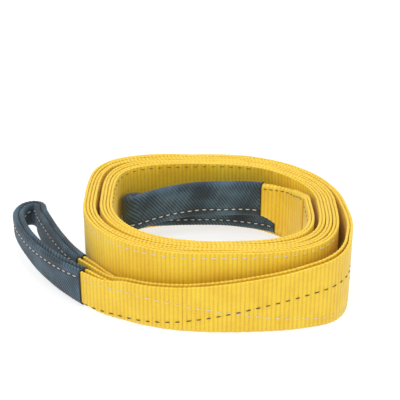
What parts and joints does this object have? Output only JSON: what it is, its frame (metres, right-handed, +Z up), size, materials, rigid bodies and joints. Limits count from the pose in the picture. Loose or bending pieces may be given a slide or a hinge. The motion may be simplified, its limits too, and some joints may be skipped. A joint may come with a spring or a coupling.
{
  "type": "web sling",
  "caption": "Two-ply flat webbing sling with a folded, fabric-sleeved eye at each end, coiled standing on its edge.",
  "frame": {"origin": "centre of the bounding box, on the surface that the web's lower edge stands on", "axes": "+Z up, +X to the right along the coil's longer side, +Y to the back, away from the outer strand"},
  "size_m": [0.4017, 0.2743, 0.09],
  "materials": {
    "webbing": "woven polyester webbing with cross ribs, slightly satin",
    "sleeve_fabric": "coarse twill, matt",
    "white_thread": "bonded polyester thread",
    "black_thread": "bonded polyester thread"
  },
  "bodies": {
    "coil": {"coil_outer_ply": "webbing", "coil_inner_ply": "webbing", "coil_white_stitching": "white_thread", "coil_black_stitching": "black_thread"},
    "tail": {"tail_outer_ply": "webbing", "tail_inner_ply": "webbing", "tail_white_stitching": "white_thread", "tail_black_stitching": "black_thread"},
    "outer_eye": {"outer_eye_web": "webbing", "outer_eye_sleeve": "sleeve_fabric", "outer_eye_sleeve_seam": "white_thread", "outer_eye_front_cuff_thread": "black_thread", "outer_eye_back_cuff_thread": "black_thread"},
    "inner_eye": {"inner_eye_web": "webbing", "inner_eye_sleeve": "sleeve_fabric", "inner_eye_sleeve_seam": "white_thread"}
  },
  "joints": [
    {"name": "tail_swing", "type": "hinge", "parent": "coil", "child": "tail", "pos_m": [0.19294, -0.07182, 0], "axis": [0, 0, 1], "range_deg": [0, 60]},
    {"name": "outer_eye_swing", "type": "hinge", "parent": "tail", "child": "outer_eye", "pos_m": [-0.05939, -0.10228, 0], "axis": [0, 0, 1], "range_deg": [0, 60]},
    {"name": "inner_eye_swing", "type": "hinge", "parent": "coil", "child": "inner_eye", "pos_m": [0.13853, 0.0536, 0], "axis": [0, 0, 1], "range_deg": [0, 22]}
  ]
}
